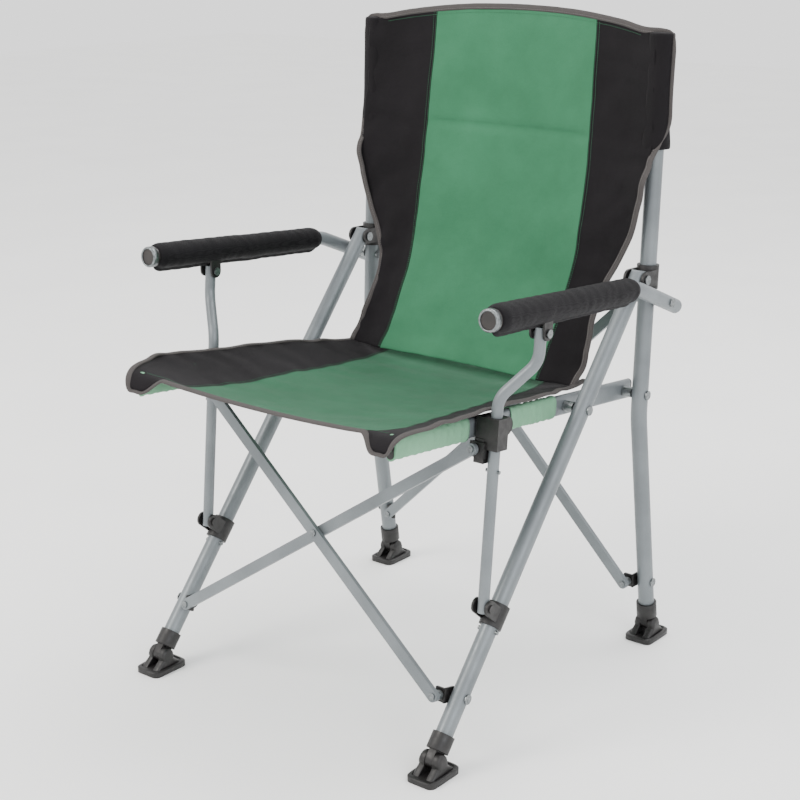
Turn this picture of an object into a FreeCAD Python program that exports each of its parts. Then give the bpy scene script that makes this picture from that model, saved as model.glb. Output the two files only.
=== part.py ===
import FreeCAD, Part
import math
import os

# Folding camp chair, millimetres, +Z up, the sitter faces -Y.
# Origin: on the floor, in the middle of the four feet's outline.
# The left side (+X) is modelled and the right side is its mirror image.
# Side-plane points are (y, z) pairs; "o" is the distance outboard of the leg plane.

V = FreeCAD.Vector
X_AXIS = V(1, 0, 0)
doc = FreeCAD.newDocument("camp_chair")
sheet = doc.addObject("Spreadsheet::Sheet", "sizes")

DIMENSIONS = [
    ("plane_x", 263.0, "leg plane to the chair's middle"),
    ("foot_height", 25.0, "ankle pivot above the floor"),
    ("rear_foot_y", 291.0, "rear ankle pivot"),
    ("front_foot_y", -275.0, "front ankle pivot"),
    ("bend_y", 235.0, "bend of the upright"),
    ("bend_z", 385.0, "bend of the upright"),
    ("bend_radius", 140.0, "bend of the upright"),
    ("recline", 2.0, "backward lean of the upper upright, degrees"),
    ("top_z", 935.0, "top of the upright tube"),
    ("seat_pivot_z", 419.0, "rail pivot on the upright"),
    ("arm_pivot_z", 566.0, "arm pivot on the upright"),
    ("collar_z", 600.0, "collar on the upright, chair open"),
    ("collar_offset", 30.0, "front leg's top pivot ahead of the upright"),
    ("collar_height", 36.0, "length of the collar"),
    ("rail_slope", 5.5, "rise of the seat rail, degrees"),
    ("rail_reach", 558.3, "rail pivot to the rail's front end"),
    ("rail_tail", 20.0, "rail pivot to the rail's rear end"),
    ("rail_height", 30.0, "flat oval rail"),
    ("rail_width", 12.0, "flat oval rail"),
    ("rail_gap", 16.5, "tube surface to the rail"),
    ("hub_reach", 339.21, "rail pivot to the hub's pivot"),
    ("leg_radius", 12.5, "legs and uprights"),
    ("leg_wall", 1.5, "legs, uprights, rails and arms"),
    ("post_radius", 8.0, "front post"),
    ("post_wall", 1.2, "front post"),
    ("arm_radius", 11.0, "arm tube"),
    ("pad_radius", 16.5, "arm pad"),
    ("brace_width", 16.0, "flat brace tube"),
    ("brace_thickness", 7.5, "flat brace tube"),
    ("brace_wall", 1.2, "flat brace tube"),
    ("brace_layer", 10.0, "distance between the two braces of a pair"),
    ("brace_inset", 21.5, "brace pivots inboard of the leg plane"),
    ("brace_stand", 22.0, "nearer brace's middle from the tube it crosses"),
    ("front_low_z", 95.0, "front brace pivot on the leg"),
    ("rear_low_z", 100.0, "rear brace pivot on the upright"),
    ("rear_high_z", 575.08, "rear brace pivot on the collar"),
    ("hub_drop", 27.0, "front brace pivot below the hub's pivot"),
    ("rivet_radius", 3.5, "large rivets"),
    ("pin_radius", 2.5, "small rivets"),
    ("run_gap", 0.05, "radial clearance of every turning or sliding fit"),
    ("brace_play", 1.2, "radial play of a brace's rivet in its bracket"),
    ("face_gap", 0.4, "clearance between faces that move past each other"),
    ("collar_radius", 16.5, "collars round the legs"),
    ("lower_collar_height", 34.0, "lower collar"),
    ("knuckle_radius", 16.0, "ankle socket"),
    ("knuckle_length", 24.0, "ankle socket"),
    ("tongue_width", 12.0, "ankle socket's tongue"),
    ("shoe_width", 46.0, "foot, across"),
    ("shoe_length", 66.0, "foot, front to back"),
    ("shoe_thickness", 8.0, "foot"),
    ("shoe_corner", 9.0, "foot's rounded corners"),
    ("pad_length", 350.0, "arm pad"),
    ("cloth", 3.0, "thickness of the folded and hemmed cloth"),
    ("seat_sag", 38.0, "dip of the seat between its rails"),
]
for row, (alias, value, note) in enumerate(DIMENSIONS, 1):
    sheet.set("A%d" % row, note)
    sheet.set("B%d" % row, str(value))
    sheet.setAlias("B%d" % row, alias)
doc.recompute()
D = {alias: float(sheet.get(alias)) for alias, value, note in DIMENSIONS}


# ---- helpers -------------------------------------------------------------

def bind(thing, prop, size):
    """Bind a property to a cell when the size is an alias, or set the number."""
    if isinstance(size, str):
        thing.setExpression(prop, "sizes." + size)
    else:
        setattr(thing, prop, size)


def number(size):
    return D[size] if isinstance(size, str) else size


def placed(origin, x_dir, y_dir):
    """Placement whose local X and Y lie along two perpendicular directions."""
    x, y = V(x_dir).normalize(), V(y_dir).normalize()
    z = x.cross(y)
    return FreeCAD.Placement(FreeCAD.Matrix(x.x, y.x, z.x, origin.x, x.y, y.y, z.y, origin.y,
                                            x.z, y.z, z.z, origin.z, 0, 0, 0, 1))


def cyl(radius, length, base, direction):
    thing = doc.addObject("Part::Cylinder", "rod")
    bind(thing, "Radius", radius)
    bind(thing, "Height", length)
    thing.Placement = FreeCAD.Placement(base, FreeCAD.Rotation(V(0, 0, 1), direction))
    return thing


def box(length, width, height, centre, x_dir, y_dir):
    """Box centred on a point."""
    thing = doc.addObject("Part::Box", "block")
    for prop, size in (("Length", length), ("Width", width), ("Height", height)):
        bind(thing, prop, size)
    frame = placed(centre, x_dir, y_dir)
    half = V(number(length) / 2, number(width) / 2, number(height) / 2)
    frame.Base = frame.multVec(half * -1)
    thing.Placement = frame
    return thing


def fuse(things, label="joined"):
    thing = doc.addObject("Part::MultiFuse", label)
    thing.Shapes = things
    thing.Label = label
    return thing


def cut(base, tools, label="trimmed"):
    thing = doc.addObject("Part::Cut", label)
    thing.Base = base
    thing.Tool = tools[0] if len(tools) == 1 else fuse(tools)
    thing.Label = label
    return thing


def common(first, second):
    thing = doc.addObject("Part::Common", "shared")
    thing.Base = first
    thing.Tool = second
    return thing


def group(things, label):
    """Identical fasteners of one body, as separate solids in one node."""
    thing = doc.addObject("Part::Compound", label)
    thing.Links = things
    thing.Label = label
    return thing


def solid(shape, label="profile"):
    thing = doc.addObject("Part::Feature", label)
    thing.Shape = shape
    thing.Placement = FreeCAD.Placement()
    thing.Label = label
    return thing


def at(point, o=0.0):
    """A side-plane point, moved outboard, in space."""
    return V(D["plane_x"] + o, point[0], point[1])


def go(point, direction, distance):
    return (point[0] + direction[0] * distance, point[1] + direction[1] * distance)


def between(first, second):
    """Unit direction and distance from one side-plane point to another."""
    dy, dz = second[0] - first[0], second[1] - first[1]
    length = math.hypot(dy, dz)
    return (dy / length, dz / length), length


def ahead(direction):
    """Direction turned a quarter turn, towards the front of the chair."""
    return (-direction[1], direction[0])


def space(direction):
    return V(0, direction[0], direction[1])


def across(radius, point, o_from, o_to):
    """Rod along X."""
    return cyl(radius, o_to - o_from, at(point, o_from), X_AXIS)


def plate(start, end, width, o_from, o_to):
    """Flat plate in the side plane, rounded at its far end."""
    along, length = between(start, end)
    middle = at(go(start, along, length / 2), (o_from + o_to) / 2)
    bar = box(length, width, o_to - o_from, middle, space(along), space(ahead(along)))
    return [bar, across(number(width) / 2, end, o_from, o_to)]


def tube_path(points, radii):
    """Straight runs joined by tangent arcs."""
    edges, start = [], points[0]
    for index, radius in enumerate(radii, 1):
        corner = points[index]
        back = (points[index - 1] - corner).normalize()
        onward = (points[index + 1] - corner).normalize()
        turn = math.pi - back.getAngle(onward)
        run = radius * math.tan(turn / 2)
        first, last = corner + back * run, corner + onward * run
        inner = (back + onward).normalize()
        middle = corner + inner * (radius / math.cos(turn / 2) - radius)
        edges.append(Part.makeLine(start, first))
        edges.append(Part.Arc(first, middle, last).toShape())
        start = last
    edges.append(Part.makeLine(start, points[-1]))
    return Part.Wire(edges)


def bent_tube(points, radii, radius, wall):
    """Hollow round tube along the path."""
    path = tube_path(points, radii)
    start = points[0]
    toward = points[1] - start
    shells = []
    for r in (radius, radius - wall):
        ring = Part.Wire([Part.makeCircle(r, start, toward)])
        shells.append(path.makePipeShell([ring], True, False))
    return shells[0].cut(shells[1])


def oval(length, height, width, start, along, o):
    """Flat oval bar: a box with a rod along each long edge."""
    flat = height - width
    middle = at(go(start, along, length / 2), o)
    parts = [box(length, flat, width, middle, space(along), space(ahead(along)))]
    for side in (-1, 1):
        edge = go(start, ahead(along), side * flat / 2)
        parts.append(cyl(width / 2, length, at(edge, o), space(along)))
    return fuse(parts)


# ---- the side's geometry ---------------------------------------------------

floor_up = D["foot_height"]
rear_foot = (D["rear_foot_y"], floor_up)
front_foot = (D["front_foot_y"], floor_up)
bend = (D["bend_y"], D["bend_z"])
lean = math.radians(D["recline"])
up = (math.sin(lean), math.cos(lean))


def on_upright(z):
    return go(bend, up, (z - bend[1]) / up[1])


low_dir, low_length = between(rear_foot, bend)
seat_pivot = on_upright(D["seat_pivot_z"])
arm_pivot = on_upright(D["arm_pivot_z"])
collar_mid = on_upright(D["collar_z"])
leg_top = go(collar_mid, ahead(up), D["collar_offset"])
leg_dir, leg_length = between(front_foot, leg_top)
slope = math.radians(D["rail_slope"])
rail_dir = (-math.cos(slope), math.sin(slope))
hub_pivot = go(seat_pivot, rail_dir, D["hub_reach"])

# The rail crosses the front leg where their lines meet.
det = rail_dir[0] * -leg_dir[1] + leg_dir[0] * rail_dir[1]
gap_y, gap_z = front_foot[0] - seat_pivot[0], front_foot[1] - seat_pivot[1]
cross_reach = (gap_y * -leg_dir[1] + leg_dir[0] * gap_z) / det
cross_point = go(seat_pivot, rail_dir, cross_reach)

# Front post: straight up from the lower collar's ears, then outboard to the arm.
post_low = (-164.0, 210.0)
post_high = (-100.0, 590.0)
post_dir, post_span = between(post_low, (-142.0, 452.0))
POST_OUT = 40.0
along_leg = (post_low[0] - front_foot[0]) * leg_dir[0] + (post_low[1] - floor_up) * leg_dir[1]
lower_mid = go(front_foot, leg_dir, along_leg)
hub_level = ((hub_pivot[0] - post_low[0]) * post_dir[0]
             + (hub_pivot[1] - post_low[1]) * post_dir[1])
lobe_point = go(post_low, post_dir, hub_level - D["hub_drop"])

# Brace planes.
low_swivel = go(front_foot, leg_dir, (D["front_low_z"] - floor_up) / leg_dir[1])
front_plane, front_rise = between(low_swivel, lobe_point)
rear_swivel = go(rear_foot, low_dir, (D["rear_low_z"] - floor_up) / low_dir[1])
rear_lobe = on_upright(D["rear_high_z"])
rear_bottom = (rear_swivel[0] - D["brace_stand"] - D["brace_layer"], rear_swivel[1])
rear_top = (rear_lobe[0] + D["brace_stand"], rear_lobe[1])
rear_plane, rear_rise = between(rear_bottom, rear_top)

R = D["leg_radius"]
GAP = D["face_gap"]
RUN = D["run_gap"]
rail_o = -(R + D["rail_gap"] + D["rail_width"] / 2)
rail_near = rail_o + D["rail_width"] / 2
rail_far = rail_o - D["rail_width"] / 2
HEAD = 2.0
left = []


def keep(thing):
    left.append(thing)
    return thing


def rivet(point, o_in, o_out, radius="rivet_radius"):
    """Rivet along X with a head at each end, outside o_in and o_out."""
    head = number(radius) * 2
    parts = [across(radius, point, o_in - HEAD / 2, o_out + HEAD / 2)]
    parts.append(across(head, point, o_in - HEAD, o_in))
    parts.append(across(head, point, o_out, o_out + HEAD))
    return fuse(parts)


def hole(point, radius="rivet_radius", extra=0.0, o_from=-60.0, o_to=80.0):
    return across(number(radius) + extra, point, o_from, o_to)


PIN = 4.0
EAR_IN = D["tongue_width"] / 2 + GAP
EAR_OUT = EAR_IN + 5.0
TUBE_START = 16.0


def knuckle(foot, direction, label):
    """Socket on the tube's end with a tongue for the foot's pin."""
    socket = cyl("knuckle_radius", "knuckle_length", at(go(foot, direction, 13)), space(direction))
    tongue = plate(go(foot, direction, 17), foot, 22.0, -D["tongue_width"] / 2, D["tongue_width"] / 2)
    bore = cyl("leg_radius", 60.0, at(go(foot, direction, TUBE_START)), space(direction))
    return keep(cut(fuse([socket] + tongue), [bore, hole(foot, PIN)], label))


def shoe(foot, label):
    """Flat foot with two ears round the knuckle's tongue."""
    base = box("shoe_width", "shoe_length", "shoe_thickness",
               at((foot[0], D["shoe_thickness"] / 2)), X_AXIS, V(0, 1, 0))
    doc.recompute()
    corners = doc.addObject("Part::Fillet", "sole")
    corners.Base = base
    upright = [i for i, e in enumerate(base.Shape.Edges, 1)
               if abs(e.tangentAt(e.FirstParameter).z) > 0.9]
    corners.Edges = [(i, D["shoe_corner"], D["shoe_corner"]) for i in upright]
    parts = [corners]
    for side in (-1, 1):
        o_from, o_to = sorted((side * EAR_IN, side * EAR_OUT))
        parts += plate((foot[0], D["shoe_thickness"] - 1), foot, 23.0, o_from, o_to)
    return keep(cut(fuse(parts), [hole(foot, PIN, RUN)], label))


def swivel(point, plane_dir, label, extra):
    """Bracket on the tube's inboard side with a plate ahead of the tube for a brace."""
    front = ahead(plane_dir)
    o_in, o_out = -R - 3.6, -R - GAP
    cheek = plate(go(point, front, 17.2), point, 22.0, o_in, o_out)
    centre = at(go(point, front, 15.2), (o_out - 30.0) / 2)
    ear = box(30.0 + o_out, 4.0, 20.0, centre, X_AXIS, space(front))
    pin_at = at(go(point, front, 40.0), -D["brace_inset"])
    pin_hole = cyl(D["pin_radius"] + D["brace_play"], 60.0, pin_at, space(front) * -1)
    return keep(cut(fuse(cheek + [ear]), [hole(point, "rivet_radius", extra), pin_hole], label))


# ---- rear upright ----------------------------------------------------------

upright_end = on_upright(D["top_z"])
upright = solid(bent_tube([at(go(rear_foot, low_dir, TUBE_START)), at(bend), at(upright_end)],
                          [D["bend_radius"]], R, D["leg_wall"]))
keep(cut(upright, [hole(seat_pivot), hole(arm_pivot), hole(rear_swivel)], "left_upright_tube"))
cap = cyl("leg_radius", 5.0, at(upright_end), space(up))
plug = cyl(R - D["leg_wall"], 18.0, at(go(upright_end, up, -18)), space(up))
keep(fuse([cap, plug], "left_upright_cap"))
arm_o = 31.5
keep(group([
    fuse([rivet(seat_pivot, rail_far - GAP, R),
          across(8.0, seat_pivot, rail_near + GAP, -R)]),
    fuse([rivet(arm_pivot, -R, arm_o + D["arm_radius"] + 3 * GAP),
          across(8.0, arm_pivot, R, arm_o - D["arm_radius"] - GAP)]),
    rivet(rear_swivel, -R - 3.6, R),
    rivet(rear_foot, -EAR_OUT - GAP, EAR_OUT + GAP, PIN),
], "left_upright_rivets"))
knuckle(rear_foot, low_dir, "left_rear_knuckle")
shoe(rear_foot, "left_rear_shoe")
swivel(rear_swivel, rear_plane, "left_rear_swivel", 0.0)
pocket_low = on_upright(D["top_z"] - 109.0)
pocket = cyl(R + D["cloth"] - 0.2, 122.0, at(pocket_low), space(up))
pocket_bore = cyl(R + 0.2, 118.0, at(pocket_low), space(up))
keep(cut(pocket, [pocket_bore], "left_back_pocket"))

# ---- collar and front leg ----------------------------------------------------

half = D["collar_height"] / 2
loop = cyl("collar_radius", "collar_height", at(go(collar_mid, up, -half)), space(up))
ears = []
for side in (-1, 1):
    ear_from, ear_to = sorted((side * (R + GAP), side * (R + 4.5)))
    ears += plate(collar_mid, leg_top, 24.0, ear_from, ear_to)
lobe_centre = at((rear_lobe[0] + 14.4, rear_lobe[1] + 4.0), -18.0)
lobe = box(24.0, 3.0, 30.0, lobe_centre, X_AXIS, V(0, 1, 0))
bore = cyl(R + RUN, 200.0, at(go(collar_mid, up, -100)), space(up))
keep(cut(fuse([loop, lobe] + ears), [bore, hole(leg_top, "rivet_radius", RUN)],
         "left_upper_collar"))

leg_start = go(front_foot, leg_dir, TUBE_START)
leg = cyl("leg_radius", leg_length - TUBE_START, at(leg_start), space(leg_dir))
leg_end = common(cyl("leg_radius", 60.0, at(go(leg_top, leg_dir, -30)), space(leg_dir)),
                 across("leg_radius", leg_top, -R, R))
leg_bore = cyl(R - D["leg_wall"], leg_length - TUBE_START - 10, at(leg_start), space(leg_dir))
stop = go(lower_mid, leg_dir, -D["lower_collar_height"] / 2 - 5)
keep(cut(fuse([leg, leg_end]),
         [leg_bore, hole(leg_top), hole(low_swivel), hole(cross_point), hole(stop, 3.0)],
         "left_front_leg_tube"))
keep(group([
    rivet(leg_top, -R - 4.5 - GAP, R + 4.5 + GAP),
    fuse([rivet(cross_point, -R - 6, R), across(8.0, cross_point, rail_near + GAP, -R)]),
    rivet(low_swivel, -R - 3.6 - GAP, R),
    rivet(front_foot, -EAR_OUT - GAP, EAR_OUT + GAP, PIN),
    across(3.0, stop, -16.0, 16.0),
], "left_front_leg_rivets"))
knuckle(front_foot, leg_dir, "left_front_knuckle")
shoe(front_foot, "left_front_shoe")
swivel(low_swivel, front_plane, "left_front_swivel", RUN)

# ---- seat rail ---------------------------------------------------------------

rail_start = go(seat_pivot, rail_dir, -D["rail_tail"])
rail_length = D["rail_tail"] + D["rail_reach"]
wall = D["leg_wall"]
rail_outer = oval(rail_length, D["rail_height"], D["rail_width"], rail_start, rail_dir, rail_o)
rail_inner = oval(rail_length, D["rail_height"] - 2 * wall, D["rail_width"] - 2 * wall,
                  rail_start, rail_dir, rail_o)
keep(cut(rail_outer, [rail_inner, hole(seat_pivot, "rivet_radius", RUN)], "left_rail_tube"))
rail_end = go(seat_pivot, rail_dir, D["rail_reach"])
keep(group([
    oval(3.0, D["rail_height"], D["rail_width"], rail_end, rail_dir, rail_o),
    oval(3.0, D["rail_height"], D["rail_width"], go(rail_start, rail_dir, -3), rail_dir, rail_o),
], "left_rail_plugs"))
keep(group([
    across(7.0, point, rail_far - HEAD, rail_far) for point in (hub_pivot, cross_point)
], "left_rail_rivets"))
pieces = []
for r_from, r_to in ((cross_reach + 25, D["hub_reach"] - 34),
                     (D["hub_reach"] + 62, D["rail_reach"] - 6)):
    sleeve_start = go(seat_pivot, rail_dir, r_from)
    skin = oval(r_to - r_from, D["rail_height"] + 3, D["rail_width"] + 3,
                sleeve_start, rail_dir, rail_o)
    core = oval(r_to - r_from, D["rail_height"], D["rail_width"], sleeve_start, rail_dir, rail_o)
    pieces.append(cut(skin, [core]))
keep(group(pieces, "left_rail_sleeve"))

# ---- hub, front post and lower collar ------------------------------------------

post_front = ahead(post_dir)
hub_mid = go(post_low, post_dir, hub_level - 2)
block = box(44.0, 24.0, 36.0, at(hub_mid, -6.0), space(post_dir), space(post_front))
tongue = plate(hub_mid, hub_pivot, 26.0, rail_near + 4, -D["post_radius"] - 1)
boss = across(12.0, hub_pivot, rail_near + GAP, -D["post_radius"] - 1)
front_normal = ahead(front_plane)
hub_lobe = box(24.0, 7.0, 21.0, at(go(lobe_point, front_normal, 13.5), -18.0),
               X_AXIS, space(front_normal))
lobe_hole = cyl(D["pin_radius"] + D["brace_play"], 60.0,
                at(go(lobe_point, front_normal, 30.0), -D["brace_inset"]),
                space(front_normal) * -1)
hub_web = box(16.0, 14.0, 34.0, at(go(lobe_point, post_front, 6.0), -16.5),
              X_AXIS, space(post_front))
post_bore = cyl(D["post_radius"] + RUN, 300.0, at(go(hub_mid, post_dir, -150)), space(post_dir))
keep(cut(fuse([block, boss, hub_lobe, hub_web] + tongue), [post_bore, lobe_hole], "left_hub"))

post_end = go(post_high, post_dir, 7)
post_points = [at(go(post_low, post_dir, -8)), at(go(post_low, post_dir, 292)),
               at(go(post_high, post_dir, -40), POST_OUT), at(post_end, POST_OUT)]
post = solid(bent_tube(post_points, [36.0, 36.0], D["post_radius"], D["post_wall"]))
stop_point = go(post_low, post_dir, 192)
keep(cut(post, [across("pin_radius", stop_point, -40, 40), across(3.0, post_high, 20, 60)],
         "left_post_tube"))
keep(group([
    across("pin_radius", stop_point, -D["post_radius"] - 3, D["post_radius"] + 3),
    rivet(post_high, POST_OUT - 13.2, POST_OUT + 13.2, 3.0),
], "left_post_pins"))

half = D["lower_collar_height"] / 2
low_loop = cyl("collar_radius", "lower_collar_height", at(go(lower_mid, leg_dir, -half)),
               space(leg_dir))
low_ears = []
for side in (-1, 1):
    inner = D["post_radius"] + 1.5
    ear_from, ear_to = sorted((side * inner, side * (inner + 3.5)))
    low_ears += plate(lower_mid, post_low, 22.0, ear_from, ear_to)
    ear_from, ear_to = sorted((side * (inner + 3.5), side * (inner + 5.5)))
    low_ears.append(across(6.0, post_low, ear_from, ear_to))
low_bore = cyl(R + RUN, 200.0, at(go(lower_mid, leg_dir, -100)), space(leg_dir))
keep(cut(fuse([low_loop] + low_ears), [low_bore], "left_lower_collar"))

# ---- arm -------------------------------------------------------------------------

arm_tail = at((arm_pivot[0] + 32.0, arm_pivot[1] - 13.0), arm_o)
arm_bend = at((152.0, 602.0), arm_o + 3.5)
arm_front = at((-214.0, 630.0), 43.0)
arm_dir = (arm_front - arm_bend).normalize()
arm = solid(bent_tube([arm_tail, arm_bend, arm_front], [70.0], D["arm_radius"], D["leg_wall"]))
keep(cut(arm, [hole(arm_pivot, "rivet_radius", RUN, 15.0, 60.0)], "left_arm_tube"))
pin_y = post_high[0]
arm_over = arm_bend + arm_dir * ((pin_y - arm_bend.y) / arm_dir.y)
drop = arm_over.z - post_high[1]
arm_core = cyl("arm_radius", 420.0, arm_bend + arm_dir * 5, arm_dir)
cheeks = []
for side in (-1, 1):
    centre = V(D["plane_x"] + POST_OUT + side * 10.8, pin_y, post_high[1] + drop / 2)
    cheeks.append(box(3.0, 20.0, drop, centre, X_AXIS, V(0, 1, 0)))
    inner, outer = sorted((POST_OUT + side * 9.3, POST_OUT + side * 12.3))
    cheeks.append(across(10.0, post_high, inner, outer))
saddle = box(24.6, 20.0, drop - 14, V(D["plane_x"] + POST_OUT, pin_y, arm_over.z - (drop - 14) / 2),
             X_AXIS, V(0, 1, 0))
keep(cut(fuse(cheeks + [saddle]), [arm_core, hole(post_high, 3.0, RUN, 10.0, 70.0)],
         "left_arm_bracket"))
pad_start = arm_front - arm_dir * (D["pad_length"] + 4)
pad = cyl("pad_radius", "pad_length", pad_start, arm_dir)
notch = box(25.4, 21.0, 60.0, V(D["plane_x"] + POST_OUT, pin_y, arm_over.z - 30), X_AXIS, V(0, 1, 0))
keep(cut(pad, [arm_core, notch], "left_arm_pad"))
keep(cyl(15.0, 10.0, arm_front, arm_dir))
left[-1].Label = "left_arm_cap"

# ---- the other side -------------------------------------------------------------

made = list(left)
for thing in left:
    twin = doc.addObject("Part::Mirroring", "twin")
    twin.Source = thing
    twin.Base = V(0, 0, 0)
    twin.Normal = X_AXIS
    twin.Label = thing.Label.replace("left_", "right_")
    made.append(twin)

# ---- cross braces ----------------------------------------------------------------

def brace(pivot, free, side, normal, label, layer, depth, same_face):
    """Flat tube from a pivot on one side to a bracket on the other side.

    normal points from the pivot's bracket to the brace, whose rivet goes depth into the
    bracket. layer is 1 for the brace further along normal at its pivot. same_face is
    True when the bracket at the free end lies on the same face of the brace.
    """
    reach = D["plane_x"] - D["brace_inset"]
    start = V(side * reach, pivot[0], pivot[1])
    end = V(-side * reach, free[0], free[1])
    along = (end - start).normalize()
    face = space(normal)
    wide = face.cross(along)
    span = (end - start).Length
    middle = (start + end) / 2
    t, w = D["brace_thickness"], D["brace_width"]
    parts = [box(span, "brace_width", "brace_thickness", middle, along, wide)]
    for point in (start, end):
        parts.append(cyl(w / 2, "brace_thickness", point - face * (t / 2), face))
    inner = box(span, w - 2 * D["brace_wall"], t - 2 * D["brace_wall"], middle, along, wide)
    shaft = cyl("pin_radius", 60.0, start - face * 30, face)
    made.append(cut(fuse(parts), [inner, shaft], label))
    head = D["pin_radius"] * 2
    pin = [cyl("pin_radius", depth + t + HEAD / 2, start - face * (t / 2 + depth), face),
           cyl(head, HEAD, start + face * (t / 2), face)]
    if layer:
        pin.append(cyl(7.0, D["brace_layer"], start - face * (t / 2 + D["brace_layer"]), face))
    if not same_face:
        pin.append(cyl(head, HEAD, start - face * (t / 2 + depth + HEAD / 2), face))
    rivets = [fuse(pin)]
    toward = face if same_face else face * -1
    rivets.append(cyl(head, HEAD, end + toward * (t / 2), toward))
    outward = face if layer else face * -1
    rivets.append(cyl(head, HEAD, start + along * (span / 2) + outward * (t / 2), outward))
    if bool(layer) == same_face:
        rivets.append(cyl(7.0, D["brace_layer"] - GAP, end - toward * (t / 2), toward * -1))
    made.append(group(rivets, label + "_rivets"))


stand = D["brace_stand"]
nearest = stand - D["brace_thickness"] / 2
for side, name, layer in ((1, "left", 1), (-1, "right", 0)):
    apart = layer * D["brace_layer"]
    brace(go(lobe_point, front_normal, stand + apart),
          go(low_swivel, front_normal, stand + apart),
          -side, front_normal, "front_brace_" + name, layer, nearest - 9.0 + apart, True)
    shift = D["brace_layer"] - apart
    brace((rear_bottom[0] + shift, rear_bottom[1]), (rear_top[0] + shift, rear_top[1]),
          side, ahead(rear_plane), "rear_brace_" + name, layer,
          nearest - 13.2 + HEAD / 2 + GAP + apart, False)

# ---- cloth -------------------------------------------------------------------------

edge_x = D["plane_x"] + rail_far - HEAD - 1.5
steps = 8
over, under = [], []
for i in range(steps + 1):
    x = edge_x * (2.0 * i / steps - 1)
    z = -D["seat_sag"] * (1 - (x / edge_x) ** 2)
    over.append(V(x, 0, z))
    under.append(V(x, 0, z - D["cloth"]))
seat_from = go(go(seat_pivot, rail_dir, 72.0), ahead(rail_dir), -14.0)
seat_run = D["rail_reach"] - 72.0 - 4.0
section = Part.Face(Part.makePolygon(over + under[::-1] + [over[0]]))
section.translate(V(0, seat_from[0], seat_from[1]))
made.append(solid(section.extrude(space(rail_dir) * seat_run), "seat_fabric"))

BACK = [(462.0, 158.0, 176.0), (540.0, 172.0, 222.0), (620.0, 208.0, 246.0),
        (700.0, 238.0, 256.0), (826.0, 246.0, 262.0), (960.0, 246.0, 262.0)]
sheets = []
for z, half_width, y in BACK:
    t = D["cloth"]
    corners = [V(-half_width, y, z), V(half_width, y, z), V(half_width, y + t, z),
               V(-half_width, y + t, z), V(-half_width, y, z)]
    sheets.append(Part.makePolygon(corners))
made.append(solid(Part.makeLoft(sheets, True, True), "back_fabric"))

# ---- check and write -----------------------------------------------------------------

doc.recompute()
for thing in doc.Objects:
    if "Invalid" in thing.State or "Error" in thing.State:
        raise RuntimeError("failed: " + thing.Label)
for thing in made:
    if thing.Shape.isNull() or not thing.Shape.isValid():
        raise RuntimeError("bad shape: " + thing.Label)
os.makedirs("parts", exist_ok=True)
for thing in made:
    thing.Shape.exportStep("parts/" + thing.Label + ".step")
print(len(made), "sub-parts written")
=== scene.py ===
import math
import bmesh
import bpy
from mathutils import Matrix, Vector, noise


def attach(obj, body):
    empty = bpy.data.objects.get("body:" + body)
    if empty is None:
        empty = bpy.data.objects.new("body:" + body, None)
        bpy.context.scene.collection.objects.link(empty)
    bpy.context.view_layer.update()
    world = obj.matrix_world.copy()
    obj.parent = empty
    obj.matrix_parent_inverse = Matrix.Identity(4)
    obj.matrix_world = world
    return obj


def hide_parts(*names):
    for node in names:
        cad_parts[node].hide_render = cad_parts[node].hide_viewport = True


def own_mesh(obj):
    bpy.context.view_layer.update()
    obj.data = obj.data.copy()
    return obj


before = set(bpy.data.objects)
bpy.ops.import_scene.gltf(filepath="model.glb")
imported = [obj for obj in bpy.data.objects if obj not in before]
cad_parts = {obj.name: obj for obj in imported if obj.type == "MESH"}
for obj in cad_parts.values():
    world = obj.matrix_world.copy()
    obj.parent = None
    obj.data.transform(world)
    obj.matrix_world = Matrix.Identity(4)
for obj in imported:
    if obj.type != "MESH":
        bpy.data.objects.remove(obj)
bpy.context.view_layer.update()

MM = 0.001
PLANE = 0.263            # leg plane to the middle
ROOT = "right_upright_body"
SIDES = (("left", 1), ("right", -1))


# ---- materials -----------------------------------------------------------

def hexa(code):
    """sRGB hex to linear RGBA."""
    out = []
    for i in (0, 2, 4):
        c = int(code[i:i + 2], 16) / 255
        out.append(c / 12.92 if c <= 0.04045 else ((c + 0.055) / 1.055) ** 2.4)
    return tuple(out) + (1.0,)


def add(tree, kind, values=None, **props):
    """One node with its socket values and properties; a value that is a socket is linked."""
    made = tree.nodes.new(kind)
    for key, value in props.items():
        setattr(made, key, value)
    for key, value in (values or {}).items():
        if isinstance(value, bpy.types.NodeSocket):
            tree.links.new(value, made.inputs[key])
        else:
            made.inputs[key].default_value = value
    return made


def material(name):
    made = bpy.data.materials.new(name)
    made.use_nodes = True
    tree = made.node_tree
    tree.nodes.clear()
    shader = add(tree, "ShaderNodeBsdfPrincipled")
    out = add(tree, "ShaderNodeOutputMaterial")
    tree.links.new(shader.outputs[0], out.inputs[0])
    return made, tree, shader


def ramp(tree, fac, low, high, start=0.3, end=0.7):
    made = add(tree, "ShaderNodeValToRGB", {"Fac": fac})
    made.color_ramp.elements[0].position = start
    made.color_ramp.elements[0].color = low
    made.color_ramp.elements[1].position = end
    made.color_ramp.elements[1].color = high
    return made.outputs[0]


def math_node(tree, op, a, b=0.0):
    return add(tree, "ShaderNodeMath", {0: a, 1: b}, operation=op).outputs[0]


def object_coords(tree):
    return add(tree, "ShaderNodeTexCoord").outputs["Object"]


def noise_tex(tree, where, scale, detail=3.0, rough=0.5):
    return add(tree, "ShaderNodeTexNoise", {"Vector": where, "Scale": scale, "Detail": detail,
                                            "Roughness": rough}).outputs[0]


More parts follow.
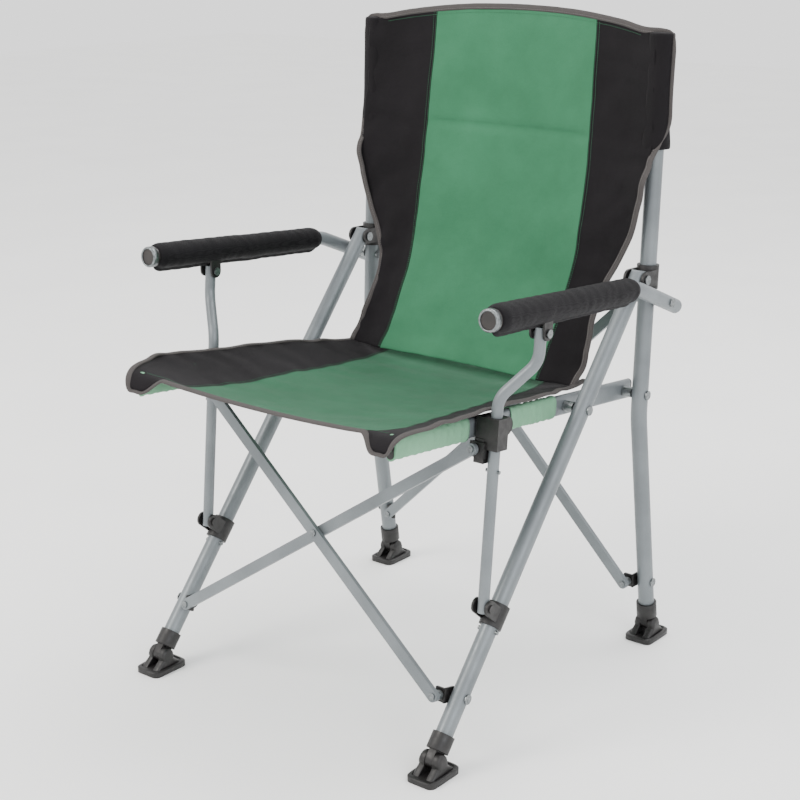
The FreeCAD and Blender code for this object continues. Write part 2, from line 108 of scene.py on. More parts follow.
def woven(name, dark, light, thread=0.9, sheen=0.25, rough=0.78, axes=("X", "Z")):
    """Coated polyester canvas: two crossed sets of threads, with a soft blotchy shade."""
    made, tree, shader = material(name)
    where = object_coords(tree)
    sets = []
    for axis in axes:
        sets.append(add(tree, "ShaderNodeTexWave",
                        {"Vector": where, "Scale": 0.314 / (thread * MM), "Distortion": 0.6,
                         "Detail": 1.0, "Detail Scale": 2.0},
                        wave_type="BANDS", bands_direction=axis).outputs["Fac"])
    weave = math_node(tree, "MULTIPLY", sets[0], sets[1])
    shade = noise_tex(tree, where, 9.0, 4.0, 0.6)
    fine = noise_tex(tree, where, 900.0, 2.0)
    mixed = math_node(tree, "ADD", math_node(tree, "MULTIPLY", shade, 0.55),
                      math_node(tree, "MULTIPLY", fine, 0.25))
    mixed = math_node(tree, "ADD", mixed, math_node(tree, "MULTIPLY", weave, 0.3))
    colour = ramp(tree, mixed, hexa(dark), hexa(light), 0.3, 0.8)
    tree.links.new(colour, shader.inputs["Base Color"])
    shader.inputs["Roughness"].default_value = rough
    shader.inputs["Sheen Weight"].default_value = sheen
    shader.inputs["Specular IOR Level"].default_value = 0.16
    shader.inputs["Sheen Roughness"].default_value = 0.5
    crease = noise_tex(tree, where, 34.0, 5.0, 0.55)
    low = add(tree, "ShaderNodeBump", {"Height": crease, "Strength": 0.35, "Distance": 0.004})
    bump = add(tree, "ShaderNodeBump", {"Height": weave, "Strength": 0.5, "Distance": 0.0004,
                                        "Normal": low.outputs[0]})
    tree.links.new(bump.outputs[0], shader.inputs["Normal"])
    return made


def powder_coat(name, dark, light):
    """Silver powder coat on steel: fine orange peel, faint metallic fleck and handling marks."""
    made, tree, shader = material(name)
    where = object_coords(tree)
    fleck = noise_tex(tree, where, 2600.0, 1.0)
    cloud = noise_tex(tree, where, 14.0, 5.0)
    mixed = math_node(tree, "ADD", math_node(tree, "MULTIPLY", fleck, 0.5),
                      math_node(tree, "MULTIPLY", cloud, 0.5))
    tree.links.new(ramp(tree, mixed, hexa(dark), hexa(light), 0.35, 0.68),
                   shader.inputs["Base Color"])
    shader.inputs["Metallic"].default_value = 0.35
    marks = noise_tex(tree, where, 60.0, 6.0, 0.7)
    rough = add(tree, "ShaderNodeMapRange", {"Value": marks, "From Min": 0.3, "From Max": 0.75,
                                             "To Min": 0.34, "To Max": 0.52})
    tree.links.new(rough.outputs[0], shader.inputs["Roughness"])
    peel = noise_tex(tree, where, 750.0, 2.0)
    bump = add(tree, "ShaderNodeBump", {"Height": peel, "Strength": 0.25, "Distance": 0.0003})
    tree.links.new(bump.outputs[0], shader.inputs["Normal"])
    return made


def moulded(name, dark, light, rough_low=0.38, rough_high=0.6):
    """Injection-moulded nylon: spark-eroded grain, slight flow marks, paler rubbed spots."""
    made, tree, shader = material(name)
    where = object_coords(tree)
    flow = noise_tex(tree, where, 45.0, 4.0)
    tree.links.new(ramp(tree, flow, hexa(dark), hexa(light), 0.35, 0.75),
                   shader.inputs["Base Color"])
    rub = noise_tex(tree, where, 120.0, 3.0)
    rough = add(tree, "ShaderNodeMapRange", {"Value": rub, "From Min": 0.3, "From Max": 0.7,
                                             "To Min": rough_low, "To Max": rough_high})
    tree.links.new(rough.outputs[0], shader.inputs["Roughness"])
    grain = noise_tex(tree, where, 1500.0, 2.0, 0.6)
    bump = add(tree, "ShaderNodeBump", {"Height": grain, "Strength": 0.3, "Distance": 0.0003})
    tree.links.new(bump.outputs[0], shader.inputs["Normal"])
    return made


def bright_steel(name):
    """Zinc-plated rivet steel: brushed rings of noise, a little uneven in colour."""
    made, tree, shader = material(name)
    where = object_coords(tree)
    blot = noise_tex(tree, where, 300.0, 4.0)
    tree.links.new(ramp(tree, blot, hexa("5C6062"), hexa("8C9091")), shader.inputs["Base Color"])
    shader.inputs["Metallic"].default_value = 0.9
    rough = add(tree, "ShaderNodeMapRange", {"Value": blot, "To Min": 0.25, "To Max": 0.5})
    tree.links.new(rough.outputs[0], shader.inputs["Roughness"])
    scratch = noise_tex(tree, where, 2200.0, 2.0)
    bump = add(tree, "ShaderNodeBump", {"Height": scratch, "Strength": 0.2, "Distance": 0.0002})
    tree.links.new(bump.outputs[0], shader.inputs["Normal"])
    return made


def ribbed_tape(name, dark, light):
    """Grosgrain binding: close cross ribs, with a heathered thread colour."""
    made, tree, shader = material(name)
    where = object_coords(tree)
    ribs = add(tree, "ShaderNodeTexWave", {"Vector": where, "Scale": 210.0, "Distortion": 1.5,
                                           "Detail": 2.0}, bands_direction="DIAGONAL")
    heather = noise_tex(tree, where, 1300.0, 2.0)
    mixed = math_node(tree, "ADD", math_node(tree, "MULTIPLY", heather, 0.6),
                      math_node(tree, "MULTIPLY", ribs.outputs["Fac"], 0.3))
    tree.links.new(ramp(tree, mixed, hexa(dark), hexa(light), 0.25, 0.75),
                   shader.inputs["Base Color"])
    shader.inputs["Roughness"].default_value = 0.85
    bump = add(tree, "ShaderNodeBump", {"Height": ribs.outputs["Fac"], "Strength": 0.6,
                                        "Distance": 0.0005})
    tree.links.new(bump.outputs[0], shader.inputs["Normal"])
    return made


green_back = woven("green_canvas_back", "2D6244", "3F7D5B", sheen=0.06, axes=("X", "Z"))
# The seat's canvas is the same cloth as the back's, made darker green here: painted shade on the
# seat.
green_seat_painted_shade = woven("green_canvas_seat_painted_shade", "1F4D34", "2E684A", sheen=0.06, axes=("X", "Y"))
black_back = woven("black_canvas_back", "0B090B", "181418", sheen=0.03, axes=("X", "Z"))
black_seat = woven("black_canvas_seat", "0C0A0C", "1A161A", sheen=0.03, axes=("X", "Y"))
black_pad = woven("black_canvas_pad", "0B0A0C", "171418", thread=0.8, sheen=0.03, axes=("Y", "X"))
pale_green = woven("pale_green_canvas", "5F8C6E", "78A888", thread=0.8, sheen=0.08,
                   axes=("Y", "Z"))
binding_tape = ribbed_tape("grey_binding", "332F2F", "4C4846")
thread_grey = ribbed_tape("grey_thread", "5A5656", "7B7775")
thread_green = ribbed_tape("green_thread", "24523A", "397353")
tube_paint = powder_coat("silver_powder_coat", "62676A", "7B8184")
nylon = moulded("black_nylon", "0B0A0A", "191616")
cap_nylon = moulded("brown_black_cap", "15110F", "261F1C", 0.3, 0.5)
rivet_steel = bright_steel("zinc_rivets")

NODE_MATERIAL = {
    "upright_tube": tube_paint, "upright_cap": nylon, "upright_rivets": rivet_steel,
    "rear_knuckle": nylon, "rear_shoe": nylon, "rear_swivel": nylon, "back_pocket": black_back,
    "upper_collar": nylon, "front_leg_tube": tube_paint, "front_leg_rivets": rivet_steel,
    "front_knuckle": nylon, "front_shoe": nylon, "front_swivel": nylon, "rail_tube": tube_paint,
    "rail_plugs": nylon, "rail_rivets": rivet_steel, "rail_sleeve": pale_green, "hub": nylon,
    "post_tube": tube_paint, "post_pins": rivet_steel, "lower_collar": nylon,
    "arm_tube": tube_paint, "arm_pad": black_pad, "arm_bracket": nylon, "arm_cap": cap_nylon,
}


def paint(thing, made):
    thing.data.materials.clear()
    thing.data.materials.append(made)


for name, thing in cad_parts.items():
    key = name.split("_", 1)[1]
    if name in ("seat_fabric", "back_fabric"):
        paint(thing, green_seat_painted_shade)
    elif "_brace_" in name:
        paint(thing, rivet_steel if name.endswith("rivets") else tube_paint)
    else:
        paint(thing, NODE_MATERIAL[key])

# Moulded edges of the plastic parts: welded, rounded 1 mm, with even shading.
ROUNDED = ("knuckle", "shoe", "swivel", "collar", "hub", "bracket", "plugs")
for name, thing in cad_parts.items():
    if name.endswith(ROUNDED):
        weld = thing.modifiers.new("weld", "WELD")
        weld.merge_threshold = 0.00002
        edge = thing.modifiers.new("edge", "BEVEL")
        edge.width = 0.001
        edge.segments = 3
        edge.angle_limit = math.radians(35)
        edge.harden_normals = True


# ---- mesh helpers --------------------------------------------------------

TAPE_STEP, TAPE_WIDTH, TAPE_THICK = 0.004, 0.0095, 0.0042
STITCH_PITCH = 0.0034


def link(mesh, name, made, body):
    thing = bpy.data.objects.new(name, mesh)
    bpy.context.scene.collection.objects.link(thing)
    for m in made if isinstance(made, (list, tuple)) else [made]:
        mesh.materials.append(m)
    mesh.polygons.foreach_set("use_smooth", [True] * len(mesh.polygons))
    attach(thing, body)
    return thing


def grid(rows, pick=None, close=False, ends=False):
    """Mesh from rows of points; pick gives a face's material index."""
    shape = bmesh.new()
    verts = [[shape.verts.new(p) for p in row] for row in rows]
    count = len(rows[0])
    for i in range(len(rows) - 1):
        for j in range(count if close else count - 1):
            k = (j + 1) % count
            face = shape.faces.new((verts[i][j], verts[i][k], verts[i + 1][k], verts[i + 1][j]))
            if pick:
                face.material_index = pick(i, j)
    if ends:
        shape.faces.new(verts[0][::-1])
        shape.faces.new(verts[-1])
    bmesh.ops.recalc_face_normals(shape, faces=shape.faces)
    mesh = bpy.data.meshes.new("cloth")
    shape.to_mesh(mesh)
    shape.free()
    return mesh


def bridge(shape, rings):
    """Faces between closed rings that have the same number of vertices."""
    count = len(rings[0])
    for a, b in zip(rings[:-1], rings[1:]):
        for k in range(count):
            n = (k + 1) % count
            shape.faces.new((a[k], a[n], b[n], b[k]))


def thicken(thing, thick, offset):
    skin = thing.modifiers.new("thickness", "SOLIDIFY")
    skin.thickness = thick
    skin.offset = offset


def table_at(rows, key):
    """Smooth values between rows of a table whose first column is the key."""
    if key <= rows[0][0]:
        return rows[0][1:]
    for i in range(len(rows) - 1):
        if key <= rows[i + 1][0]:
            t = (key - rows[i][0]) / (rows[i + 1][0] - rows[i][0])
            prev, after = rows[max(i - 1, 0)], rows[min(i + 2, len(rows) - 1)]
            out = []
            for c in range(1, len(rows[i])):
                a, b = rows[i][c], rows[i + 1][c]
                m0 = (b - prev[c]) / 2
                m1 = (after[c] - a) / 2
                t2, t3 = t * t, t * t * t
                out.append((2 * t3 - 3 * t2 + 1) * a + (t3 - 2 * t2 + t) * m0
                           + (3 * t2 - 2 * t3) * b + (t3 - t2) * m1)
            return out
    return rows[-1][1:]


def resample(points, step):
    """Evenly spaced points along a smooth curve through the given ones."""
    dense = []
    last = len(points) - 1
    for i in range(last):
        a, b = points[i], points[i + 1]
        p, n = points[max(i - 1, 0)], points[min(i + 2, last)]
        for k in range(16):
            t = k / 16
            dense.append(0.5 * ((2 * a) + (b - p) * t + (2 * p - 5 * a + 4 * b - n) * t * t
                                + (3 * a - p - 3 * b + n) * t ** 3))
    dense.append(points[-1])
    out, left = [dense[0]], step
    for a, b in zip(dense[:-1], dense[1:]):
        length = (b - a).length
        while length >= left:
            a = a + (b - a).normalized() * left
            length -= left
            out.append(a)
            left = step
        left -= length
    return out


def tape(name, path, facing, made, body):
    """Flat soft-edged tape along a path; facing(point) is the direction its face looks."""
    points = resample(path, TAPE_STEP)
    rows = []
    for i, point in enumerate(points):
        along = (points[min(i + 1, len(points) - 1)] - points[max(i - 1, 0)]).normalized()
        out = facing(point)
        out = (out - along * out.dot(along)).normalized()
        side = along.cross(out)
        ring = []
        for k in range(12):
            a = 2 * math.pi * k / 12
            wob = 1 + 0.06 * noise.noise(point * 60 + Vector((k, 0, 0)))
            c, s = math.cos(a), math.sin(a)
            ring.append(point + side * (math.copysign(abs(c) ** 0.7, c) * TAPE_WIDTH / 2 * wob)
                        + out * (math.copysign(abs(s) ** 0.8, s) * TAPE_THICK / 2))
        rows.append(ring)
    return link(grid(rows, close=True, ends=True), name, made, body)


def stitches(name, paths, facing, lift, made, body):
    """Rows of single stitches, each a short raised thread."""
    shape = bmesh.new()
    for path in paths:
        points = resample(path, STITCH_PITCH)
        for i in range(1, len(points) - 1):
            p = points[i]
            along = (points[i + 1] - points[i - 1]).normalized()
            out = facing(p)
            out = (out - along * out.dot(along)).normalized()
            side = along.cross(out)
            base = p + out * lift
            rings = []
            for t, r in ((-0.36, 0.15), (-0.24, 0.8), (0.0, 1.0), (0.24, 0.8), (0.36, 0.15)):
                centre = base + along * (t * STITCH_PITCH)
                ring = []
                for k in range(6):
                    a = math.pi * k / 3
                    ring.append(shape.verts.new(centre + side * (math.cos(a) * 0.00038 * r)
                                                + out * (math.sin(a) * 0.0003 * r)))
                rings.append(ring)
            bridge(shape, rings)
    bmesh.ops.recalc_face_normals(shape, faces=shape.faces)
    mesh = bpy.data.meshes.new("thread")
    shape.to_mesh(mesh)
    shape.free()
    return link(mesh, name, made, body)


def crumple(p, size, depth):
    """Smooth wrinkle height at a point."""
    return depth * (noise.noise(p * size) + 0.45 * noise.noise(p * size * 2.3))


def cloth_body(thing, thick):
    thicken(thing, thick, 0)
    finer = thing.modifiers.new("finer", "SUBSURF")
    finer.levels = finer.render_levels = 1


def fold_flat(*things):
    for thing in things:
        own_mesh(thing)


# ---- back: green middle panel, black side panels, crowned top ---------------

# height, half-width, edge y, seam half-width, seam y, in mm
BACK = [(446, 212, 128, 150, 120), (470, 214, 149, 149, 141), (500, 212, 167, 149, 160),
        (540, 207, 186, 150, 181), (580, 211, 203, 150, 202), (620, 228, 213, 153, 215),
        (660, 246, 215, 152, 224), (700, 257, 215, 152, 232), (740, 265, 214, 152, 239),
        (770, 268, 224, 152, 243), (800, 268, 231, 151, 247), (850, 265, 235, 150, 253),
        (900, 264, 237, 148, 259), (950, 263, 239, 147, 264), (980, 263, 240, 146, 267)]
BACK_ROWS, SIDE_COLS, MID_COLS = 110, 12, 30
BACK_LOW = 446
BACK_SEAM = 0.58         # share of the half-width where the middle panel ends
HEM_Z = 795              # cross seam


def crown_height(s):
    """Top edge of the back at a share of its half-width, in mm."""
    return 948 + 27 * (1 - abs(s) ** 2.4)


def back_columns():
    side = [1 - 0.42 * i / SIDE_COLS for i in range(SIDE_COLS)]
    mid = [BACK_SEAM - 1.16 * i / MID_COLS for i in range(MID_COLS + 1)]
    return side + mid + [-s for s in side[::-1]]


def back_point(s, t):
    """Point of the back at share s of its half-width and share t of its height."""
    z = BACK_LOW + t * (crown_height(s) - BACK_LOW)
    w, ye, ws, ys = table_at(BACK, z)
    a = abs(s)
    if a <= BACK_SEAM:
        x = ws * a / BACK_SEAM
        y = ys + 9 * (1 - (a / BACK_SEAM) ** 2)
    else:
        k = (a - BACK_SEAM) / 0.42
        x = ws + (w - ws) * k
        y = ys + (ye - ys) * k ** 1.25 + 3 * math.sin(math.pi * k)
    p = Vector((math.copysign(x, s), y, z)) * MM
    edge = max(0.0, (a - 0.5) / 0.5)
    low = max(0.0, 1 - t * 1.25)
    depth = 0.0014 + 0.0045 * edge * (1 - t * 0.4) + 0.0018 * low
    p.y += crumple(Vector((p.x * 1.7, 0.3, p.z)), 13.0, depth)
    p.y += 0.0012 * edge * math.sin(p.z * 120 + 6 * noise.noise(p * 14))
    if a < BACK_SEAM:
        p.y += 0.0034 * math.exp(-((z - HEM_Z) / 7.0) ** 2)
    return p


columns = back_columns()
rows = [[back_point(s, i / BACK_ROWS) for s in columns] for i in range(BACK_ROWS + 1)]


def back_pick(_i, j):
    middle = (columns[j] + columns[j + 1]) / 2
    return 0 if abs(middle) < BACK_SEAM else 1


back = link(grid(rows, back_pick), "back_cloth", (green_back, black_back), ROOT)
cloth_body(back, 0.0016)
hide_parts("back_fabric")


def toward_front(_point):
    return Vector((0, -1, 0.15))


def axis_y(z):
    """Upright's middle at a height, metres."""
    return 0.235 + (z - 0.385) * math.tan(math.radians(2.0))


# Pockets over the tops of the uprights, flattened and puckered at the hem.
POCKET_HEM = 0.788
for side, sign in SIDES:
    rings = []
    for i in range(34):
        z = POCKET_HEM + 0.162 * min(1.0, i / 30)
        shrink = 1.0 if i <= 30 else (0.93, 0.7, 0.25)[i - 31]
        lift = 0.0 if i <= 30 else (0.0012, 0.0022, 0.0027)[i - 31]
        flare = 1 + 0.14 * math.exp(-((z - POCKET_HEM) / 0.02) ** 2)
        ring = []
        for k in range(40):
            a = 2 * math.pi * k / 40
            p = Vector((math.cos(a), math.sin(a), 0))
            r = 1 + 0.05 * noise.noise(Vector((p.x * 2, p.y * 2, z * 28 + sign)))
            ring.append(Vector((sign * PLANE + p.x * 0.0182 * r * flare * shrink,
                                axis_y(z) + p.y * 0.0164 * r * flare * shrink, z + lift)))
        rings.append(ring)
    pocket = link(grid(rings, close=True), side + "_pocket_cloth", black_back,
                  side + "_upright_body")
    cloth_body(pocket, 0.0014)
    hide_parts(side + "_back_pocket")

# Binding round the whole back: up one edge, over the crown, down the other.
edge_path = [back_point(1.0, i / 31 * 0.7) for i in range(31)]
right_half = [p for p in edge_path if p.z < 0.785]
right_half += [Vector((0.2755, axis_y(0.80) - 0.010, 0.800))]
right_half += [Vector((0.2815, axis_y(z), z)) for z in (0.825, 0.86, 0.90, 0.932)]
right_half += [Vector((0.277, axis_y(0.95), 0.949)), Vector((0.263, axis_y(0.95) - 0.002, 0.9535))]
crown = [back_point(s, 1.0) + Vector((0, 0, 0.0012)) for s in (0.9, 0.75, 0.55, 0.35, 0.15, 0.0)]
half_path = right_half + crown
path = half_path + [Vector((-p.x, p.y, p.z)) for p in half_path[-2::-1]]
back_binding = tape("back_binding", path, toward_front, binding_tape, ROOT)


def inset(points, amount):
    """Path moved towards the middle of the panel, for stitch rows."""
    centre = Vector((0, 0.22, 0.72))
    out = []
    for p in points:
        inward = Vector((centre.x - p.x, 0, centre.z - p.z)).normalized()
        out.append(p + inward * amount)
    return out


back_rows = []
for s in (0.585, 0.60):
    for sign in (1, -1):
        back_rows.append([back_point(sign * s, i / 60) for i in range(61)])
for lift in (0.0, 5.0):
    row = []
    for k in range(25):
        s = 0.56 - 1.12 * k / 24
        row.append(back_point(s, (HEM_Z + lift - BACK_LOW) / (crown_height(s) - BACK_LOW)))
    back_rows.append(row)
back_rows.append([back_point(s / 20, 0.985) for s in range(-18, 19)])
back_thread = stitches("back_stitching", back_rows, toward_front, 0.0011, thread_green, ROOT)
edge_thread = stitches("back_edge_stitching", [inset(path, 0.0022)], toward_front, 0.0024,
                       thread_grey, ROOT)

# ---- seat: slung between the rails, lowest in the middle --------------------

# y, half-width, edge z, seam half-width, seam z, middle z, in mm
SEAT = [(-324, 240, 491, 150, 483, 478), (-300, 253, 494, 157, 475, 468),
        (-250, 261, 495, 161, 464, 454), (-180, 253, 488, 160, 455, 444),
        (-145, 247, 484, 158, 452, 441), (-100, 245, 479, 156, 449, 438),
        (0, 239, 467, 152, 441, 431), (80, 224, 455, 150, 436, 428),
        (130, 215, 448, 150, 436, 430), (158, 212, 449, 150, 441, 437)]
SEAT_ROWS = 120
SEAT_FRONT, SEAT_DEPTH = -324, 482
SEAT_SEAM = 0.6          # share of the half-width where the middle panel ends
# Each front corner laps over a rail's end: its length, reach and drop in mm.
CORNER_LAP, CORNER_REACH, CORNER_DROP = 20, 14, 22


def seat_point(s, t):
    """Point of the seat at share s of its half-width and share t of its depth."""
    y = SEAT_FRONT + t * SEAT_DEPTH
    w, ze, ws, zs, zm = table_at(SEAT, y)
    a = abs(s)
    if a <= SEAT_SEAM:
        x = ws * a / SEAT_SEAM
        z = zm + (zs - zm) * (a / SEAT_SEAM) ** 2
    else:
        k = (a - SEAT_SEAM) / 0.4
        x = ws + (w - ws) * k
        z = zs + (ze - zs) * (0.85 * k + 0.15 * k * k)
    y += 7 * (1 - a * a) * max(0.0, 1 - t * 8)
    corner = min(1.0, max(0.0, (a - 0.74) / 0.14))
    corner *= corner * (3 - 2 * corner)
    lap = max(0.0, 1 - t * SEAT_DEPTH / CORNER_LAP)
    y -= CORNER_REACH * corner * math.sin(math.pi / 2 * lap)
    z -= CORNER_DROP * corner * lap ** 4
    p = Vector((math.copysign(x, s), y, z)) * MM
    calm = min(1.0, t * 9)
    p.z += crumple(Vector((p.x, p.y * 1.6, 0.7)), 12.0, 0.0014 + 0.0008 * (1 - a)) * calm
    p.z += 0.0009 * math.sin(p.y * 120 + 4 * noise.noise(p * 15)) * a * calm
    return p


seat_cols = [1 - 0.4 * i / 10 for i in range(10)] + [0.6 - 1.2 * i / 28 for i in range(29)]
seat_cols += [-(1 - 0.4 * i / 10) for i in range(9, -1, -1)]
rows = [[seat_point(s, i / SEAT_ROWS) for s in seat_cols] for i in range(SEAT_ROWS + 1)]


def seat_pick(_i, j):
    return 0 if abs(seat_cols[j] + seat_cols[j + 1]) / 2 < SEAT_SEAM else 1


SEAT_BODY = "right_rail_body"
seat = link(grid(rows, seat_pick), "seat_cloth", (green_seat_painted_shade, black_seat), SEAT_BODY)
cloth_body(seat, 0.0018)
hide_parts("seat_fabric")


def upward(_point):
    return Vector((0.0, -0.1, 1))


side_edge = [seat_point(1.0, 1 - i / 22) for i in range(22)]
corner = [seat_point(1.0, 0.024), seat_point(0.995, 0.009), seat_point(0.97, 0.0)]
front_edge = [seat_point(s, 0.0) for s in (0.92, 0.88, 0.85, 0.82, 0.79, 0.75, 0.7, 0.6, 0.4, 0.2,
                                           0.0)]
half_path = side_edge + corner + front_edge
seat_path = half_path + [Vector((-p.x, p.y, p.z)) for p in half_path[-2::-1]]
seat_binding = tape("seat_binding", seat_path, upward, binding_tape, SEAT_BODY)
seat_rows = []
for s in (0.605, 0.62):
    for sign in (1, -1):
        seat_rows.append([seat_point(sign * s, 0.01 + 0.97 * i / 50) for i in range(51)])
seat_rows.append([seat_point(s / 20, 0.03) for s in range(-18, 19)])
seat_thread = stitches("seat_stitching", seat_rows, upward, 0.0012, thread_green, SEAT_BODY)
fold_flat(back, back_binding, back_thread, edge_thread, seat, seat_binding, seat_thread)

# ---- rail sleeves and arm pads -------------------------------------------------

RAIL_START = Vector((0, 0.23619, 0.419))
SLOPE = math.radians(5.5)
rail_dir = Vector((0, -math.cos(SLOPE), math.sin(SLOPE)))
rail_up = Vector((0, math.sin(SLOPE), math.cos(SLOPE)))
RAIL_O = -0.035          # rail's middle from the leg plane
for side, sign in SIDES:
    for label, r_from, r_to in (("rear", 0.190, 0.305), ("front", 0.4012, 0.5602)):
        rings = []
        steps = int((r_to - r_from) / 0.003)
        for i in range(steps + 1):
            r = r_from + (r_to - r_from) * i / steps
            mouth = min(i, steps - i)
            ring = []
            for k in range(36):
                a = 2 * math.pi * k / 36
                c, s = math.cos(a), math.sin(a)
                h = 0.0165 * math.copysign(abs(s) ** 0.75, s)
                w = 0.0073 * math.copysign(abs(c) ** 0.8, c)
                pucker = 0.0007 * math.sin(r * 420 + 2.5 * noise.noise(Vector((r * 30, k, 0))))
                grow = pucker + crumple(Vector((r, c * 0.02, s * 0.02)), 45.0, 0.0009)
                grow = max(grow, -0.0002) + (0.0006 if mouth < 2 else 0)
                p = RAIL_START + rail_dir * r + rail_up * (h + s * grow)
                ring.append(Vector((sign * (PLANE + RAIL_O) + w + c * grow, p.y, p.z)))
            rings.append(ring)
        if label == "front":
            last = sum(rings[-1], Vector()) / len(rings[-1])
            for part in (0.93, 0.7, 0.35, 0.02):
                rings.append([last + (p - last) * part + rail_dir * (0.0016 * (1 - part))
                              for p in rings[steps]])
        sleeve = link(grid(rings, close=True), side + "_" + label + "_sleeve_cloth",
                      pale_green, side + "_rail_body")
        thicken(sleeve, 0.0011, -1)
        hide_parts(side + "_rail_sleeve")

ARM_FRONT = Vector((0.043, -0.214, 0.630))
ARM_BEND = Vector((0.035, 0.152, 0.602))
PAD_STEPS, PAD_LENGTH = 118, 0.354
for side, sign in SIDES:
    front = Vector((sign * (PLANE + ARM_FRONT.x), ARM_FRONT.y, ARM_FRONT.z))
    rear = Vector((sign * (PLANE + ARM_BEND.x), ARM_BEND.y, ARM_BEND.z))
    along = (rear - front).normalized()
    across = along.cross(Vector((0, 0, 1))).normalized()
    over = across.cross(along)
    rings = []
    for i in range(PAD_STEPS + 1):
        d = PAD_LENGTH * i / PAD_STEPS
        centre = front + along * d
        close = min(1.0, min(i, PAD_STEPS - i) / 5.0)
        end = 0.78 + 0.22 * math.sin(close * math.pi / 2)
        ring = []
        for k in range(48):
            a = 2 * math.pi * k / 48
            c, s = math.cos(a), math.sin(a)
            r = (0.0203 - 0.0016 * i / PAD_STEPS) * end
            pinch = math.exp(-((a - 1.5 * math.pi) / 0.13) ** 2)
            r += 0.0058 * pinch * end
            waist = math.exp(-((a - 1.5 * math.pi) / 0.5) ** 2) - pinch
            r -= 0.0018 * max(0.0, waist)
            r += crumple(Vector((d, c * 0.02, s * 0.02 + sign)), 30.0, 0.0007)
            r += 0.0002 * math.sin(d * 300 + 4 * noise.noise(Vector((d * 20, a, sign))))
            ring.append(centre + across * (c * r) + over * (s * r * 0.97))
        rings.append(ring)
    pad = link(grid(rings, close=True, ends=True), side + "_pad_cloth", black_pad,
               side + "_arm_body")
    finer = pad.modifiers.new("finer", "SUBSURF")
    finer.levels = finer.render_levels = 1
    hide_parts(side + "_arm_pad")
    # Bright rim and dished face on the arm's front cap.
    rim = []
    for d, r in ((-0.0102, 0.0118), (-0.0116, 0.0124), (-0.0116, 0.0142), (-0.0098, 0.0153),
                 (-0.003, 0.0155)):
        centre = front + along * d
        rim.append([centre + across * (math.cos(2 * math.pi * k / 48) * r)
                    + over * (math.sin(2 * math.pi * k / 48) * r) for k in range(48)])
    ring_piece = link(grid(rim, close=True), side + "_cap_rim", rivet_steel, side + "_arm_body")
    thicken(ring_piece, 0.0006, -1)


# Moulded cheeks that build each foot up round its ankle pin.
FEET = (("front", -0.275), ("rear", 0.291))


def cheek_profile(scale, drop):
    """Outline of a cheek, (y, z) from the pin: round over the pin, sloping to the sole."""
    out = []
    for k in range(13):
        a = math.radians(-25 + 230 * k / 12)
        out.append((0.0118 * math.cos(a) * scale, 0.0118 * math.sin(a) * scale - drop))
    sole = [(-0.024, -0.0165), (-0.0265, -0.0185), (-0.0265, -0.0205), (0.0265, -0.0205),
            (0.0265, -0.0185), (0.024, -0.0165)]
    return out + [(y * (0.6 + 0.4 * scale), z) for y, z in sole]


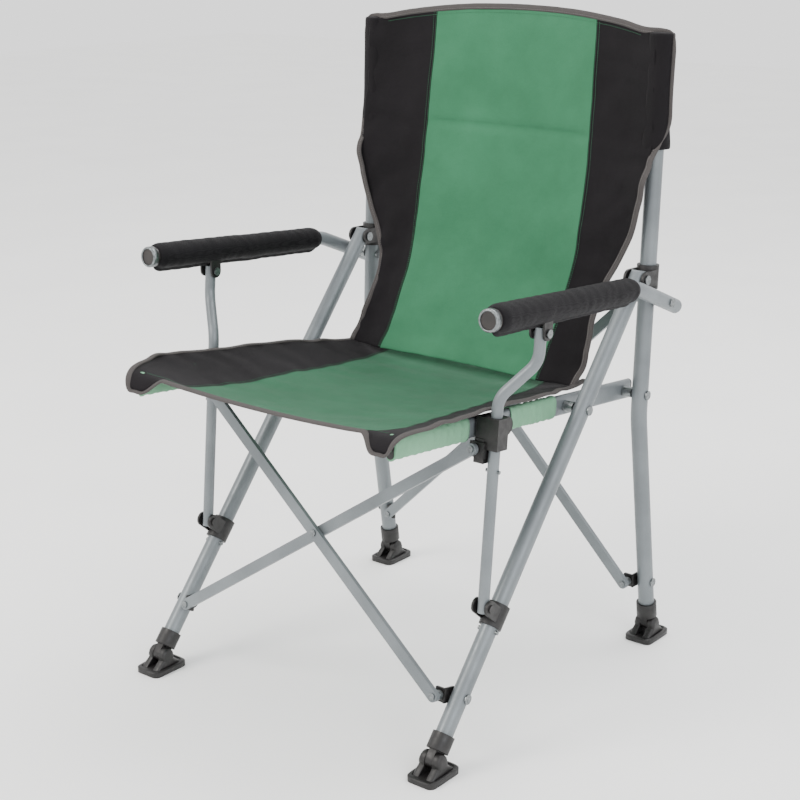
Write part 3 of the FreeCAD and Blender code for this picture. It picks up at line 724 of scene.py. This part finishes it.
for side, sign in SIDES:
    for label, y_foot in FEET:
        shape = bmesh.new()
        for way in (1, -1):
            rings = []
            for o, scale, drop in ((0.0066, 0.97, 0.0), (0.0068, 1.0, 0.0), (0.0125, 1.0, 0.0),
                                   (0.0150, 0.96, 0.0006), (0.0172, 0.82, 0.0024),
                                   (0.0180, 0.6, 0.0050)):
                rings.append([shape.verts.new((sign * PLANE + way * o, y_foot + y, 0.025 + z))
                              for y, z in cheek_profile(scale, drop)])
            bridge(shape, rings)
            shape.faces.new(rings[0])
            shape.faces.new(rings[-1])
        # Raised rim round the sole's top.
        rings = []
        for grow, z in ((0.0, 0.0010), (0.0012, 0.0022), (0.0012, 0.0078), (-0.0006, 0.0092),
                        (-0.0036, 0.0092), (-0.0044, 0.0080), (-0.0044, 0.0040)):
            ring = []
            for k in range(56):
                a = 2 * math.pi * k / 56
                c, s = math.cos(a), math.sin(a)
                x = (0.023 + grow) * math.copysign(abs(c) ** 0.42, c)
                y = (0.033 + grow) * math.copysign(abs(s) ** 0.42, s)
                ring.append(shape.verts.new((sign * PLANE + x, y_foot + y, z)))
            rings.append(ring)
        bridge(shape, rings)
        bmesh.ops.recalc_face_normals(shape, faces=shape.faces)
        mesh = bpy.data.meshes.new("foot")
        shape.to_mesh(mesh)
        shape.free()
        cover = link(mesh, side + "_" + label + "_foot_cover", nylon,
                     side + "_" + label + "_shoe_body")
        edge = cover.modifiers.new("edge", "BEVEL")
        edge.width = 0.0007
        edge.segments = 2
        edge.angle_limit = math.radians(40)


# ---- floor, light and camera -----------------------------------------------------

floor_mat, tree, shader = material("pale_floor")
where = object_coords(tree)
tree.links.new(ramp(tree, noise_tex(tree, where, 3.0, 3.0), hexa("FAFAF9"), hexa("FEFEFD")),
               shader.inputs["Base Color"])
shader.inputs["Roughness"].default_value = 0.9
mesh = bpy.data.meshes.new("floor")
mesh.from_pydata([(-9, -9, 0), (9, -9, 0), (9, 9, 0), (-9, 9, 0)], [], [(0, 1, 2, 3)])
mesh.materials.append(floor_mat)
floor = bpy.data.objects.new("floor", mesh)
bpy.context.scene.collection.objects.link(floor)


def lamp(name, place, aim, size, power, tint="FFFFFF"):
    light = bpy.data.lights.new(name, "AREA")
    light.shape = "DISK"
    light.size = size
    light.energy = power
    light.color = hexa(tint)[:3]
    holder = bpy.data.objects.new(name, light)
    holder.location = place
    holder.rotation_euler = (Vector(aim) - Vector(place)).to_track_quat("-Z", "Y").to_euler()
    bpy.context.scene.collection.objects.link(holder)


lamp("key", (-1.6, -2.6, 3.0), (0, 0, 0.5), 1.8, 95, "FFFBF5")
lamp("fill", (3.0, -1.2, 2.0), (0, 0, 0.5), 2.2, 45, "F5F9FF")
lamp("top", (0.2, 1.4, 3.2), (0, 0, 0.4), 2.4, 60)
world = bpy.data.worlds.new("studio")
world.use_nodes = True
world.node_tree.nodes["Background"].inputs["Color"].default_value = hexa("FFFFFF")
world.node_tree.nodes["Background"].inputs["Strength"].default_value = 1.6
bpy.context.scene.world = world

eye, aim = Vector((1.451, -1.844, 1.132)), Vector((-0.0186, 0.008, 0.4105))
lens = bpy.data.cameras.new("camera")
lens.sensor_width = 36
lens.lens = 73.7
camera = bpy.data.objects.new("camera", lens)
camera.location = eye
camera.rotation_euler = (aim - eye).to_track_quat("-Z", "Y").to_euler()
bpy.context.scene.collection.objects.link(camera)
bpy.context.scene.camera = camera
